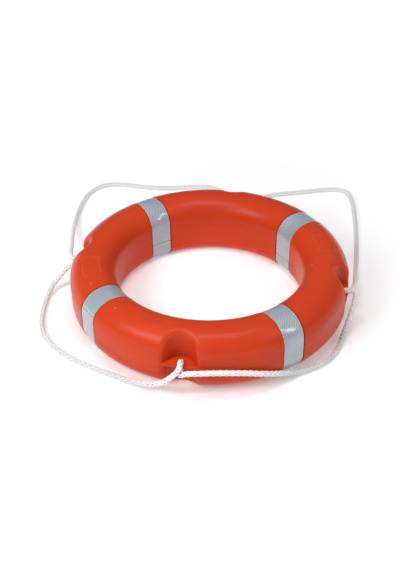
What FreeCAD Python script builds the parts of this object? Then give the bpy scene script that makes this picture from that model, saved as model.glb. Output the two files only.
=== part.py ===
import FreeCAD, Part
import math
import os
import Sketcher

# Life ring: hollow moulded ring with four scoops and lugs, foam core, plugs, tapes and a grab line.
# +Z is up, the origin is the centre of the ring on the surface it lies on, and the lugs lie on X and Y.
# Every size is in millimetres. Angles are in degrees, counterclockwise from +X seen from above.

SIZES = (
    ("outer_diameter", 640, "ring across its outer wall"),
    ("hole_diameter", 428, "opening in the middle"),
    ("ring_height", 140, "from the surface it lies on to the crest"),
    ("crest_diameter", 524, "middle of the flat crest band"),
    ("crest_band", 18, "width of the flat band on the crest and underneath"),
    ("crown_drop", 4.5, "fall of the crowned top from its band to the corner"),
    ("outer_corner", 50, "radius of both outer corners"),
    ("inner_top_corner", 47, "radius of the inner top corner"),
    ("inner_bottom_corner", 28, "radius of the inner bottom corner"),
    ("section_angle", 62, "where the section is drawn, clear of all that the ring carries"),
    ("shell_wall", 4, "wall of the moulded shell"),
    ("core_clearance", 0.3, "between the shell and its foam core"),
    ("scoop_radius", 36, "half round wall of a scoop"),
    ("scoop_depth", 35, "depth of a scoop from the outer wall"),
    ("scoop_rim", 12, "rounding of a scoop's rim"),
    ("lug_thickness", 5, "plate across a scoop at mid height"),
    ("lug_setback", 0.4, "front edge of a lug behind the outer wall"),
    ("lug_bite", 6, "plate let into the wall of its scoop, as far as the wall goes"),
    ("lug_hole", 19, "diameter of the rope hole"),
    ("lug_lip", 5.6, "from the rope hole to the front edge"),
    ("lug_round", 1.2, "rounding of a lug's edges"),
    ("tape_width", 50, "retroreflective tape"),
    ("tape_thickness", 0.8, "retroreflective tape"),
    ("tape_margin", 2.5, "recess beside each edge of the tape"),
    ("tape_below", 0.7, "tape's face below the shell's surface"),
    ("tape_bond", 0.1, "adhesive between a tape and the floor of its recess"),
    ("tape_first_angle", 45, "first tape, the others follow at quarter turns"),
    ("panel_length", 70, "blank label panel, along the ring"),
    ("panel_breadth", 38, "blank label panel, across the ring"),
    ("panel_diameter", 540, "circle on which the label panels are centred"),
    ("panel_depth", 0.8, "blank label panel"),
    ("panel_angle", 20.5, "first label panel, the other is opposite"),
    ("plug_diameter", 22, "head of a fill plug"),
    ("plug_head", 1.4, "thickness of a plug's head at its rim"),
    ("plug_stem", 16, "diameter of a plug's stem"),
    ("plug_clearance", 0.15, "around a plug's head and stem"),
    ("plug_circle", 534, "circle on which the plugs are set"),
    ("plug_angle", 77, "vent plug, the fill plug is opposite"),
    ("rope_diameter", 12, "grab line"),
    ("rope_seat", 0.5, "between the grab line and the lug that it goes round"),
    ("turn_reach", 20, "from the line's corner at a lug to the end of its turn"),
    ("whipping_length", 3, "one band of the whipped join"),
    ("whipping_thickness", 0.6, "thread of the whipping"),
    ("whipping_clearance", 0.1, "between the line and the whipping"),
    ("whipping_pitch", 10, "from one whipped band to the next"),
    ("overrun", 20, "how far a cut runs past what it cuts"),
)
LUGS = 4
TAPES = ("back_right", "back_left", "front_left", "front_right")
WHIPPINGS = 3

# An arc of the line takes this share of the shorter run beside it.
ARC_SHARE = 0.45
# Two places count as one within this share of the overrun, and two volumes within this share of each other.
NEAR_SHARE = 0.001
VOLUME_SHARE = 0.01

# Where each lug stands, in degrees.
LUG_ANGLES = {"front": -90, "left": 180, "back": 90, "right": 0}
# Route of the grab line, one bight for each quarter: the lug that it leaves from above, the lug that it reaches
# from below, and the free points between them. Each point is x, y and z.
ROPE_ROUTES = {
    "grab_line_front_left": ("front", "left", (
        (-2, -335, 79), (-7, -342, 69), (-19, -342, 52), (-37, -336, 34), (-66, -327, 18), (-106, -315, 8.5),
        (-156, -300, 6.3), (-211, -283, 6.3), (-264, -261, 6.3), (-308, -236, 6.3), (-341, -202, 6.3),
        (-361, -163, 6.3), (-372, -120, 6.3), (-380, -74, 6.8), (-380, -36, 14), (-370, -15, 27),
        (-358, -4, 41), (-347, 3, 53), (-336, 4, 60.5),
    )),
    "grab_line_back_left": ("left", "back", (
        (-335, 6, 79), (-344, 21, 75.5), (-354, 50, 65.5), (-371, 105, 49), (-394, 178, 28), (-414, 262, 10),
        (-427, 345, 6.3), (-424, 420, 6.3), (-395, 469, 6.3), (-344, 480, 6.3), (-292, 477, 6.3),
        (-240, 478, 6.3), (-190, 489, 6.3), (-144, 505, 6.3), (-102, 510, 6.3), (-65, 498, 6.3),
        (-38, 467, 9), (-22, 426, 19), (-13, 390, 36), (-7, 359, 53), (-3, 338, 60.5),
    )),
    "grab_line_back_right": ("back", "right", (
        (3, 337, 79), (8, 356, 72), (17, 388, 50), (32, 430, 23), (51, 474, 8), (73, 499, 6.3),
        (113, 515, 6.3), (161, 533, 6.3), (209, 552, 6.3), (253, 565, 6.3), (284, 547, 6.3),
        (299, 490, 6.3), (310, 415, 6.3), (320, 329, 6.3), (326, 245, 10.5), (329, 173, 21),
        (332, 118, 35), (333, 79, 47), (332, 51, 56), (327, 29, 60.5),
    )),
    "grab_line_front_right": ("right", "front", (
        (333, 7, 79), (341, 5, 77), (343, -4, 70), (338, -18, 57), (331, -38, 41), (325, -61, 26),
        (320, -84, 14.5), (315, -111, 8), (307, -140, 6.3), (290, -171, 6.3), (266, -196, 6.3),
        (237, -218, 11), (205, -250, 28), (172, -282, 49), (137, -300, 61), (102, -314, 67),
        (72, -322, 69), (50, -327, 68.5), (35, -329, 65), (22, -325, 60.5),
    )),
}
# The two ends of the line are joined on the arc at this free point of this bight.
SPLICE_ROUTE = "grab_line_front_right"
SPLICE_POINT = 7

DOC = FreeCAD.newDocument("life_ring")
SHEET = DOC.addObject("Spreadsheet::Sheet", "Sizes")


def fill_sheet():
    """Write every driving size with its alias and its meaning."""
    for row, (alias, value, meaning) in enumerate(SIZES, start=1):
        SHEET.set("A%d" % row, alias)
        SHEET.set("B%d" % row, str(value))
        SHEET.setAlias("B%d" % row, alias)
        SHEET.set("C%d" % row, meaning)
    DOC.recompute()


def size(alias):
    """The value of a named size."""
    return float(SHEET.get(alias))


def bind(thing, **formulas):
    """Bind properties of an object to formulas in the named sizes."""
    for prop, formula in formulas.items():
        thing.setExpression(prop, formula)


def named(words):
    """A formula with each size written as a cell of the sheet."""
    aliases = {alias for alias, _, _ in SIZES}
    text = ""
    word = ""
    for letter in words + " ":
        if letter.isalnum() or letter == "_":
            word += letter
            continue
        text += ("Sizes." + word if word in aliases else word) + letter
        word = ""
    return text.strip()


def origin_plane(body, role):
    """The plane of a body's own origin with the given role."""
    return next(feature for feature in body.Origin.OriginFeatures if feature.Role == role)


def new_sketch(body, name, role):
    """A sketch on one of the body's own origin planes."""
    sketch = body.newObject("Sketcher::SketchObject", name)
    sketch.AttachmentSupport = [(origin_plane(body, role), "")]
    sketch.MapMode = "FlatFace"
    return sketch


def place(sketch, geometry, end, across, up, formulas):
    """Fix an end of a line or arc at the given distances from the sketch's origin."""
    for kind, value, formula in (("DistanceX", across, formulas[0]), ("DistanceY", up, formulas[1])):
        index = sketch.addConstraint(Sketcher.Constraint(kind, -1, 1, geometry, end, value))
        sketch.setExpression("Constraints[%d]" % index, named(formula))


def arc_through(centre, radius, start, end):
    """A sketch arc about a centre, counterclockwise from one point to another."""
    turn_from = math.atan2(start[1] - centre[1], start[0] - centre[0])
    turn_to = math.atan2(end[1] - centre[1], end[0] - centre[0])
    circle = Part.Circle(FreeCAD.Vector(centre[0], centre[1], 0), FreeCAD.Vector(0, 0, 1), radius)
    return Part.ArcOfCircle(circle, turn_from, turn_to)


def circle_edges(shape, corner):
    """Names of the full circles about Z at one corner of the section, a radius and a height."""
    names = []
    for number, edge in enumerate(shape.Edges, start=1):
        if not isinstance(edge.Curve, Part.Circle):
            continue
        beside = abs(edge.Curve.Radius - corner[0]) < size("overrun") * NEAR_SHARE
        level = abs(edge.Curve.Center.z - corner[1]) < size("overrun") * NEAR_SHARE
        if beside and level:
            names.append("Edge%d" % number)
    return names


def ring_form(name, inset):
    """A plain ring, its section drawn inset by the sum of the named sizes, turned about Z and rounded."""
    body = DOC.addObject("PartDesign::Body", name)
    sketch = new_sketch(body, name + "_section", "XZ_Plane")
    turned = FreeCAD.Rotation(FreeCAD.Vector(0, 1, 0), size("section_angle"))
    sketch.AttachmentOffset = FreeCAD.Placement(FreeCAD.Vector(), turned)
    bind(sketch, **{"AttachmentOffset.Rotation.Angle": named("section_angle")})
    depth = sum(size(word) for word in inset)
    inward = "".join(" - " + word for word in inset)
    outward = "".join(" + " + word for word in inset)
    outer = size("outer_diameter") / 2 - depth
    inner = size("hole_diameter") / 2 + depth
    band_out = (size("crest_diameter") + size("crest_band")) / 2
    band_in = (size("crest_diameter") - size("crest_band")) / 2
    top = size("ring_height") - depth
    shoulder = top - size("crown_drop")
    foot = depth + size("crown_drop")

    drop = size("crown_drop")
    crown_out = ((outer - band_out) ** 2 + drop ** 2) / (2 * drop)
    crown_in = ((band_in - inner) ** 2 + drop ** 2) / (2 * drop)

    shapes = (
        Part.LineSegment(FreeCAD.Vector(band_in, top, 0), FreeCAD.Vector(band_out, top, 0)),
        arc_through((band_out, top - crown_out), crown_out, (outer, shoulder), (band_out, top)),
        Part.LineSegment(FreeCAD.Vector(outer, foot, 0), FreeCAD.Vector(outer, shoulder, 0)),
        arc_through((band_out, depth + crown_out), crown_out, (band_out, depth), (outer, foot)),
        Part.LineSegment(FreeCAD.Vector(band_out, depth, 0), FreeCAD.Vector(band_in, depth, 0)),
        arc_through((band_in, depth + crown_in), crown_in, (inner, foot), (band_in, depth)),
        Part.LineSegment(FreeCAD.Vector(inner, shoulder, 0), FreeCAD.Vector(inner, foot, 0)),
        arc_through((band_in, top - crown_in), crown_in, (band_in, top), (inner, shoulder)),
    )
    sketch.addGeometry(list(shapes), False)

    # Each pair is a line's end and a crown arc's end, where the flat band runs smoothly into the crown.
    for line, line_end, arc, arc_end in ((0, 2, 1, 2), (4, 1, 3, 1), (4, 2, 5, 2), (0, 1, 7, 1)):
        sketch.addConstraint(Sketcher.Constraint("Tangent", line, line_end, arc, arc_end))
    for first, first_end, second, second_end in ((1, 1, 2, 2), (2, 1, 3, 2), (5, 1, 6, 2), (6, 1, 7, 2)):
        sketch.addConstraint(Sketcher.Constraint("Coincident", first, first_end, second, second_end))

    outer_words = "outer_diameter / 2" + inward
    inner_words = "hole_diameter / 2" + outward
    out_words = "(crest_diameter + crest_band) / 2"
    in_words = "(crest_diameter - crest_band) / 2"
    top_words = "ring_height" + inward
    base_words = " + ".join(inset) if inset else "0"
    shoulder_words = top_words + " - crown_drop"
    foot_words = "crown_drop" + outward
    place(sketch, 0, 1, band_in, top, (in_words, top_words))
    place(sketch, 0, 2, band_out, top, (out_words, top_words))
    place(sketch, 4, 1, band_out, depth, (out_words, base_words))
    place(sketch, 4, 2, band_in, depth, (in_words, base_words))
    place(sketch, 2, 2, outer, shoulder, (outer_words, shoulder_words))
    place(sketch, 2, 1, outer, foot, (outer_words, foot_words))
    place(sketch, 6, 1, inner, shoulder, (inner_words, shoulder_words))
    place(sketch, 6, 2, inner, foot, (inner_words, foot_words))

    turn = body.newObject("PartDesign::Revolution", name + "_turn")
    turn.Profile = sketch
    turn.ReferenceAxis = (sketch, ["V_Axis"])
    turn.Angle = 360
    DOC.recompute()

    rounded = turn
    corners = (
        ("outer", "outer_corner", ((outer, shoulder), (outer, foot))),
        ("inner_top", "inner_top_corner", ((inner, shoulder),)),
        ("inner_bottom", "inner_bottom_corner", ((inner, foot),)),
    )
    for corner, radius, spots in corners:
        fillet = body.newObject("PartDesign::Fillet", name + "_" + corner + "_round")
        names = [edge for spot in spots for edge in circle_edges(rounded.Shape, spot)]
        fillet.Base = (rounded, names)
        bind(fillet, Radius=named(radius + inward))
        DOC.recompute()
        rounded = fillet
    return body


def scooped(body, wall):
    """Cut the four scoops through a ring's full height, grown by a wall, and round their rims."""
    grown = "".join(" + " + word for word in wall)
    thinner = "".join(" - " + word for word in wall)
    extra = sum(size(word) for word in wall)
    radius = size("scoop_radius") + extra
    centre = size("outer_diameter") / 2 - size("scoop_depth") + size("scoop_radius")
    far = size("outer_diameter") / 2 + size("overrun")

    sketch = new_sketch(body, body.Name + "_scoop_plan", "XY_Plane")
    right = FreeCAD.Vector(radius, -centre, 0)
    left = FreeCAD.Vector(-radius, -centre, 0)
    right_far = FreeCAD.Vector(radius, -far, 0)
    left_far = FreeCAD.Vector(-radius, -far, 0)
    sketch.addGeometry([
        arc_through((0, -centre), radius, (radius, -centre), (-radius, -centre)),
        Part.LineSegment(left, left_far),
        Part.LineSegment(left_far, right_far),
        Part.LineSegment(right_far, right),
    ], False)
    for first, first_end, second, second_end in ((0, 2, 1, 1), (1, 2, 2, 1), (2, 2, 3, 1), (3, 2, 0, 1)):
        sketch.addConstraint(Sketcher.Constraint("Coincident", first, first_end, second, second_end))
    radius_words = "scoop_radius" + grown
    centre_words = "outer_diameter / 2 - scoop_depth + scoop_radius"
    place(sketch, 0, 1, radius, -centre, (radius_words, "-(" + centre_words + ")"))
    place(sketch, 0, 2, -radius, -centre, ("-(" + radius_words + ")", "-(" + centre_words + ")"))
    index = sketch.addConstraint(Sketcher.Constraint("DistanceY", -1, 1, 0, 3, -centre))
    sketch.setExpression("Constraints[%d]" % index, named("-(" + centre_words + ")"))
    far_words = "-(outer_diameter / 2 + overrun)"
    place(sketch, 2, 1, -radius, -far, ("-(" + radius_words + ")", far_words))
    place(sketch, 2, 2, radius, -far, (radius_words, far_words))

    before = body.Tip.Shape.Volume
    pocket = body.newObject("PartDesign::Pocket", body.Name + "_scoop")
    pocket.Profile = sketch
    pocket.Type = "ThroughAll"
    pocket.Reversed = True
    DOC.recompute()
    if pocket.Shape.Volume > before - radius * size("scoop_depth"):
        raise RuntimeError("the scoop cuts nothing from " + body.Name)

    around = body.newObject("PartDesign::PolarPattern", body.Name + "_scoops")
    around.Originals = [pocket]
    around.Axis = (origin_plane(body, "Z_Axis"), [""])
    around.Angle = 360
    around.Occurrences = LUGS
    body.Tip = around
    DOC.recompute()

    rim = body.newObject("PartDesign::Fillet", body.Name + "_scoop_rims")
    rim.Base = (around, rim_edges(around.Shape, radius, centre))
    bind(rim, Radius=named("scoop_rim" + thinner))
    body.Tip = rim
    DOC.recompute()


def rim_edges(shape, radius, centre):
    """Names of the edges where the scoops' walls meet the ring's surface."""
    names = []
    for number, edge in enumerate(shape.Edges, start=1):
        middle = edge.valueAt((edge.FirstParameter + edge.LastParameter) / 2)
        ends = [vertex.Point for vertex in edge.Vertexes]
        if any(all(on_scoop(point, turn, radius, centre) for point in ends + [middle]) for turn in range(LUGS)):
            names.append("Edge%d" % number)
    return names


def on_scoop(point, turn, radius, centre):
    """Whether a point lies on the wall of one scoop, its half round or a straight side."""
    local = FreeCAD.Rotation(FreeCAD.Vector(0, 0, 1), -turn * 360 / LUGS).multVec(point)
    if local.y > -centre:
        across = math.hypot(local.x, local.y + centre)
    else:
        across = abs(local.x)
    return abs(across - radius) < size("overrun") * NEAR_SHARE and local.y < 0


def plate(turn):
    """A lug: the flat plate across a scoop at mid height, with its rope hole and rounded edges."""
    name = "lug_%d" % (turn + 1)
    disc = DOC.addObject("Part::Cylinder", name + "_front")
    bind(disc, Radius=named("outer_diameter / 2 - lug_setback"), Height=named("lug_thickness"))
    bind(disc, **{"Placement.Base.z": named("(ring_height - lug_thickness) / 2")})
    bind(disc, **{"Placement.Rotation.Angle": named("section_angle + %d" % (turn * 360 / LUGS))})
    round_back = DOC.addObject("Part::Cylinder", name + "_back")
    bind(round_back, Radius=named("scoop_radius + lug_bite"), Height=named("lug_thickness"))
    hole = DOC.addObject("Part::Cylinder", name + "_hole")
    bind(hole, Radius=named("lug_hole / 2"), Height=named("lug_thickness + 2 * overrun"))
    angle = turn * 360 / LUGS - 90
    along = "(outer_diameter / 2 - scoop_depth + scoop_radius)"
    at_hole = "(outer_diameter / 2 - lug_setback - lug_lip - lug_hole / 2)"
    for thing, reach, low in (
        (round_back, along, "(ring_height - lug_thickness) / 2"),
        (hole, at_hole, "(ring_height - lug_thickness) / 2 - overrun"),
    ):
        bind(thing, **{
            "Placement.Base.x": named(reach + " * %d" % round(math.cos(math.radians(angle)))),
            "Placement.Base.y": named(reach + " * %d" % round(math.sin(math.radians(angle)))),
            "Placement.Base.z": named(low),
            "Placement.Rotation.Angle": "%d" % angle,
        })
    outline = DOC.addObject("Part::Common", name + "_outline")
    outline.Base = disc
    outline.Tool = round_back
    drilled = DOC.addObject("Part::Cut", name + "_drilled")
    drilled.Base = outline
    drilled.Tool = hole
    DOC.recompute()
    rounded = DOC.addObject("Part::Fillet", name)
    rounded.Base = drilled
    radius = size("lug_round")
    rounded.Edges = [(number, radius, radius) for number in plate_edges(drilled.Shape)]
    DOC.recompute()
    return rounded


def plate_edges(shape):
    """Numbers of a lug's front edges and the edges of its rope hole."""
    front = size("outer_diameter") / 2 - size("lug_setback")
    numbers = []
    for number, edge in enumerate(shape.Edges, start=1):
        if not isinstance(edge.Curve, Part.Circle):
            continue
        radius = edge.Curve.Radius
        if min(abs(radius - front), abs(radius - size("lug_hole") / 2)) < size("overrun") * NEAR_SHARE:
            numbers.append(number)
    return numbers


def joined(name, things):
    """One object made of several."""
    made = DOC.addObject("Part::MultiFuse", name)
    made.Shapes = list(things)
    return made


def boolean(kind, name, base, tool):
    """A boolean of two objects."""
    made = DOC.addObject("Part::" + kind, name)
    made.Base = base
    made.Tool = tool
    return made


def slab(name, width, turn):
    """An upright slab across the ring's section at one tape, from the middle of the ring outwards."""
    made = DOC.addObject("Part::Box", name)
    angle = "(tape_first_angle + %d)" % (turn * 90)
    bind(made, Length=named("outer_diameter / 2 + overrun"), Width=named(width))
    bind(made, Height=named("ring_height + 2 * overrun"))
    bind(made, **{
        "Placement.Rotation.Angle": named(angle),
        "Placement.Base.x": named("(" + width + ") / 2 * sin(" + angle + ")"),
        "Placement.Base.y": named("-(" + width + ") / 2 * cos(" + angle + ")"),
        "Placement.Base.z": named("-overrun"),
    })
    return made


def label_panel(turn):
    """The space above a blank label panel: a short length of the ring's top, as broad as the panel."""
    name = "label_panel_%d" % (turn + 1)
    outer = DOC.addObject("Part::Cylinder", name + "_outer")
    inner = DOC.addObject("Part::Cylinder", name + "_inner")
    span = "panel_length / panel_diameter * 360 / pi"
    bind(outer, Radius=named("(panel_diameter + panel_breadth) / 2"), Angle=named(span))
    bind(outer, **{"Placement.Rotation.Angle": named("panel_angle + %d - " % (turn * 180) + span + " / 2")})
    bind(inner, Radius=named("(panel_diameter - panel_breadth) / 2"))
    for thing in (outer, inner):
        bind(thing, Height=named("ring_height"))
        bind(thing, **{"Placement.Base.z": named("ring_height / 2")})
    return boolean("Cut", name, outer, inner)


def post(name, width, floor, turn):
    """An upright round post on the crest at one of the two plugs."""
    made = DOC.addObject("Part::Cylinder", name)
    bind(made, Radius=named("(" + width + ") / 2"), Height=named("ring_height"))
    angle = "(plug_angle + %d)" % (turn * 180)
    bind(made, **{
        "Placement.Base.x": named("plug_circle / 2 * cos(" + angle + ")"),
        "Placement.Base.y": named("plug_circle / 2 * sin(" + angle + ")"),
        "Placement.Base.z": named(floor),
    })
    return made


def plug(name, turn, surface):
    """A fill plug, its head and stem trimmed to the ring's own crown, and the stepped hole for it."""
    head_floor = "ring_height - plug_head"
    stem_floor = "ring_height - shell_wall"
    wider = " + 2 * plug_clearance"
    head = post(name + "_head", "plug_diameter", head_floor, turn)
    stem = post(name + "_stem", "plug_stem", stem_floor, turn)
    solid = boolean("Fuse", name + "_post", head, stem)
    head_hole = post(name + "_head_hole", "plug_diameter" + wider, head_floor, turn)
    stem_hole = post(name + "_stem_hole", "plug_stem" + wider, stem_floor + " - overrun", turn)
    return boolean("Common", name, solid, surface), boolean("Fuse", name + "_hole", head_hole, stem_hole)


def hole_point(side, above):
    """The corner of the line where it leaves a lug's hole, above the lug or below it."""
    reach = size("outer_diameter") / 2 - size("lug_setback") - size("lug_lip") - size("lug_round")
    reach -= size("rope_diameter") / 2
    lift = (size("lug_thickness") + size("rope_diameter")) / 2 + size("rope_seat")
    angle = math.radians(LUG_ANGLES[side])
    height = size("ring_height") / 2 + (lift if above else -lift)
    return FreeCAD.Vector(reach * math.cos(angle), reach * math.sin(angle), height)


def leg_end(corner, toward):
    """Where the turn round a lug meets the bight that goes on towards a point."""
    along = toward - corner
    along.normalize()
    return corner + along * size("turn_reach")


def bight(name):
    """The points of one bight, from its end above one lug to its end below the next."""
    leaves, reaches, free = ROPE_ROUTES[name]
    spots = [FreeCAD.Vector(*point) for point in free]
    start = leg_end(hole_point(leaves, True), spots[0])
    end = leg_end(hole_point(reaches, False), spots[-1])
    return [start] + spots + [end]


def tube_path(spots):
    """Straight runs joined by tangent arcs, each as large as its two runs allow, and their radii."""
    edges = []
    radii = []
    start = spots[0]
    for before, at, after in zip(spots[:-2], spots[1:-1], spots[2:]):
        back = before - at
        ahead = after - at
        reach = ARC_SHARE * min(back.Length, ahead.Length)
        back.normalize()
        ahead.normalize()
        half_turn = (math.pi - back.getAngle(ahead)) / 2
        radius = reach / math.tan(half_turn)
        leave = at + back * reach
        join = at + ahead * reach
        middle = back + ahead
        middle.normalize()
        crown = at + middle * (radius / math.cos(half_turn) - radius)
        edges.append(Part.LineSegment(start, leave).toShape())
        edges.append(Part.Arc(leave, crown, join).toShape())
        radii.append(radius)
        start = join
    edges.append(Part.LineSegment(start, spots[-1]).toShape())
    return Part.Wire(edges), radii


def tube(name, spots):
    """A length of the grab line as a round tube, checked against its section times its length."""
    path, radii = tube_path(spots)
    radius = size("rope_diameter") / 2
    circle = Part.makeCircle(radius, spots[0], spots[1] - spots[0])
    solid = path.makePipeShell([Part.Wire([circle])], True, False)
    expected = math.pi * radius ** 2 * path.Length
    if abs(solid.Volume / expected - 1) > VOLUME_SHARE:
        raise RuntimeError("the tube %s has volume %.0f, not %.0f" % (name, solid.Volume, expected))
    line = DOC.addObject("Part::Feature", name)
    line.Shape = solid
    line.Placement = FreeCAD.Placement()
    print("%s: length %.0f, arcs of %s" % (name, path.Length, [round(arc) for arc in radii]))
    return line


def whipping():
    """Short bands of thread around the line where its two ends are joined."""
    inner = size("rope_diameter") / 2 + size("whipping_clearance")
    outer = inner + size("whipping_thickness")
    length = size("whipping_length")
    path, _ = tube_path(bight(SPLICE_ROUTE))
    arcs = [edge for edge in path.Edges if isinstance(edge.Curve, Part.Circle)]
    arc = arcs[SPLICE_POINT - 1]
    bands = []
    for number in range(WHIPPINGS):
        reach = arc.Length / 2 + (number - (WHIPPINGS - 1) / 2) * size("whipping_pitch")
        where = arc.getParameterByLength(reach)
        along = arc.tangentAt(where)
        start = arc.valueAt(where) - along * (length / 2)
        ring = Part.makeCylinder(outer, length, start, along)
        bands.append(ring.cut(Part.makeCylinder(inner, length, start, along)))
    made = DOC.addObject("Part::Feature", "whipping")
    made.Shape = Part.makeCompound(bands)
    made.Placement = FreeCAD.Placement()
    return made


def grab_line():
    """The four bights of the line, its tight turn through each lug's hole, and its whipped join."""
    pieces = {name: tube(name, bight(name)) for name in ROPE_ROUTES}
    for arriving, (_, side, _) in ROPE_ROUTES.items():
        leaving = next(name for name, route in ROPE_ROUTES.items() if route[0] == side)
        name = "grab_line_turn_" + side
        below = hole_point(side, False)
        above = hole_point(side, True)
        pieces[name] = tube(name, [bight(arriving)[-1], below, above, bight(leaving)[0]])
    pieces["splice_whipping"] = whipping()
    return pieces


def ring_pieces():
    """The shell, its core, its plugs and its tapes."""
    surface = ring_form("surface", ())
    outside = ring_form("outside", ())
    scooped(outside, ())
    cavity = ring_form("cavity", ("shell_wall",))
    scooped(cavity, ("shell_wall",))
    core = ring_form("core", ("shell_wall", "core_clearance"))
    scooped(core, ("shell_wall", "core_clearance"))
    tape_face = ring_form("tape_face", ("tape_below",))
    tape_back = ring_form("tape_back", ("tape_below", "tape_thickness"))
    recess_floor = ring_form("recess_floor", ("tape_below", "tape_thickness", "tape_bond"))
    panel_floor = ring_form("panel_floor", ("panel_depth",))
    pieces = {"foam_core": core}

    holes = []
    for turn, name in enumerate(("fill_plug_back", "fill_plug_front")):
        pieces[name], hole = plug(name + "_form", turn, surface)
        holes.append(hole)

    recess_width = "tape_width + 2 * tape_margin"
    recesses = joined("recess_slabs", [slab("recess_slab_" + side, recess_width, turn)
                                       for turn, side in enumerate(TAPES)])
    panels = joined("label_panels", [label_panel(turn) for turn in range(len(holes))])
    solid = joined("shell_with_lugs", [outside] + [plate(turn) for turn in range(LUGS)])
    shell = boolean("Cut", "shell_recessed", solid, boolean("Cut", "recesses", recesses, recess_floor))
    shell = boolean("Cut", "shell_panelled", shell, boolean("Cut", "panel_spaces", panels, panel_floor))
    shell = boolean("Cut", "shell_drilled", shell, joined("plug_holes", holes))
    pieces["ring_shell"] = boolean("Cut", "shell_hollow", shell, cavity)

    tape_ring = boolean("Cut", "tape_ring", tape_face, tape_back)
    for turn, side in enumerate(TAPES):
        strip = slab("tape_slab_" + side, "tape_width", turn)
        pieces["reflective_tape_" + side] = boolean("Common", "tape_" + side, tape_ring, strip)
    return pieces


def check(pieces):
    """Stop if any object failed or any sub-part has no sound solid."""
    failed = [thing.Name for thing in DOC.Objects if {"Invalid", "Error"} & set(thing.State)]
    for name, piece in pieces.items():
        if piece.Shape.isNull() or not piece.Shape.isValid() or not piece.Shape.Solids:
            failed.append(name)
    if failed:
        raise RuntimeError("these failed: " + ", ".join(failed))


def write(pieces):
    """Write each sub-part to a STEP file under its node's name, and print its size."""
    os.makedirs("parts", exist_ok=True)
    for name, piece in sorted(pieces.items()):
        piece.Label = name
        piece.Shape.exportStep("parts/%s.step" % name)
        print("%s: %d solids, %.1f ml" % (name, len(piece.Shape.Solids), piece.Shape.Volume / 1000))


fill_sheet()
sub_parts = ring_pieces()
sub_parts.update(grab_line())
DOC.recompute()
check(sub_parts)
write(sub_parts)
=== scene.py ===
import math

import bpy
import numpy as np
from mathutils import Matrix, Vector
from mathutils.bvhtree import BVHTree


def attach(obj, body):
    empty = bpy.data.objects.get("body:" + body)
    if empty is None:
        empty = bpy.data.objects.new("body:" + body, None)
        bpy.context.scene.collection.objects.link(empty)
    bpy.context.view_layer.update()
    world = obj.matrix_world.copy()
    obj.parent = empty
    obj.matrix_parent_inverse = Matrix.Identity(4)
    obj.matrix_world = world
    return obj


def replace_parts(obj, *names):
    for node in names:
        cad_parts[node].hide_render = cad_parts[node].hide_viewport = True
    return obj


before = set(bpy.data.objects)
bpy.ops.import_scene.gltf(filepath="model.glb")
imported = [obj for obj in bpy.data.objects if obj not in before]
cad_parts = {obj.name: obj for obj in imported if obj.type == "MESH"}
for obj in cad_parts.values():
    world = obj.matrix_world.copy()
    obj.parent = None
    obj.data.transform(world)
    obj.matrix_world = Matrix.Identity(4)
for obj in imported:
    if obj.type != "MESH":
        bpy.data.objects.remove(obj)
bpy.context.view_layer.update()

# Ring
RING_HEIGHT = 0.140
PARTING_HEIGHT = RING_HEIGHT / 2
PARTING_WIDTH = 0.0009
PARTING_RISE = 0.00025
# Small moulding marks on the crown: circle, degrees from +X, radius of the mark.
MOULD_MARKS = ((0.282, -123.6, 0.0022), (0.282, -145.6, 0.0022), (0.233, 2.6, 0.0026))
MARK_RISE = 0.0003
MARK_EDGE = 0.0012
# Label panels: their places, in degrees from +X on a circle, and half their length and breadth.
PANEL_ANGLES = (20.5, -159.5)
PANEL_CIRCLE = 0.270
PANEL_HALF_LENGTH = 0.035
PANEL_HALF_BREADTH = 0.019
# Width of the highlight painted along each panel's edges.
PANEL_HIGHLIGHT_WIDTH = 0.0009
# Painted shade, with some dirt, lies in the recess beside each tape, this far out from the tape's edge.
RECESS_SHADE_WIDTH = 0.0026
RECESS_SHADE_FADE = 0.0004
# Skin of the plastic: how far its grain and its slow waves rise, and how deep its scuffs are.
PEEL_RISE = 0.00005
WAVE_RISE = 0.0010
SCUFF_DEPTH = 0.00003
# Fineness of the scuffs, as steps of noise in a radian round the ring and in a metre across it.
SCUFFS_ROUND = 9.0
SCUFFS_ACROSS = 620.0
SHELL_ORANGE = (0.620, 0.0535, 0.0115)
SHELL_DEEP_ORANGE = (0.575, 0.0465, 0.0104)
DUST_COLOUR = (0.75, 0.16, 0.06)
SCUFF_COLOUR = (0.80, 0.20, 0.10)
PARTING_COLOUR = (0.80, 0.16, 0.07)
MARK_COLOUR = (0.85, 0.30, 0.16)
PANEL_HIGHLIGHT_COLOUR = (0.86, 0.22, 0.10)
# Painted shade, with some dirt, in the tape recesses.
RECESS_SHADE_AND_DIRT_COLOUR = (0.22, 0.012, 0.003)

# Plugs, each with a low weld ring in the shell round it
PLUG_CIRCLE = 0.267
PLUG_ANGLES = {"fill_plug_back": 77, "fill_plug_front": 257}
PLUG_RADIUS = 0.011
WELD_WIDTH = 0.0012
WELD_RISE = 0.00022
# Turned rings in a plug's face, in radians for each metre outwards.
TURNED_RATE = 5200.0
TURNED_RISE = 0.00004
GROOVE_RADIUS = 0.0085
GROOVE_WIDTH = 0.0009
GROOVE_DEPTH = 0.00035
# Radii between which the sprue falls away.
SPRUE_RADII = (0.0010, 0.0018)
SPRUE_RISE = 0.0004
PLUG_ORANGE = (0.630, 0.0480, 0.0095)
PLUG_DEEP_ORANGE = (0.580, 0.0420, 0.0085)
GROOVE_SHADE_COLOUR = (0.42, 0.030, 0.008)

# Foam core
FOAM_CELLS_IN_METRE = 420.0
FOAM_PIT_DEPTH = 0.0004
FOAM_CREAM = (0.90, 0.86, 0.70)
FOAM_PIT_SHADE_COLOUR = (0.62, 0.56, 0.38)
FOAM_CLOUD_COLOUR = (0.80, 0.74, 0.55)

# Tapes
TAPE_ANGLES = {
    "reflective_tape_back_right": 45,
    "reflective_tape_back_left": 135,
    "reflective_tape_front_left": 225,
    "reflective_tape_front_right": 315,
}
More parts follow.
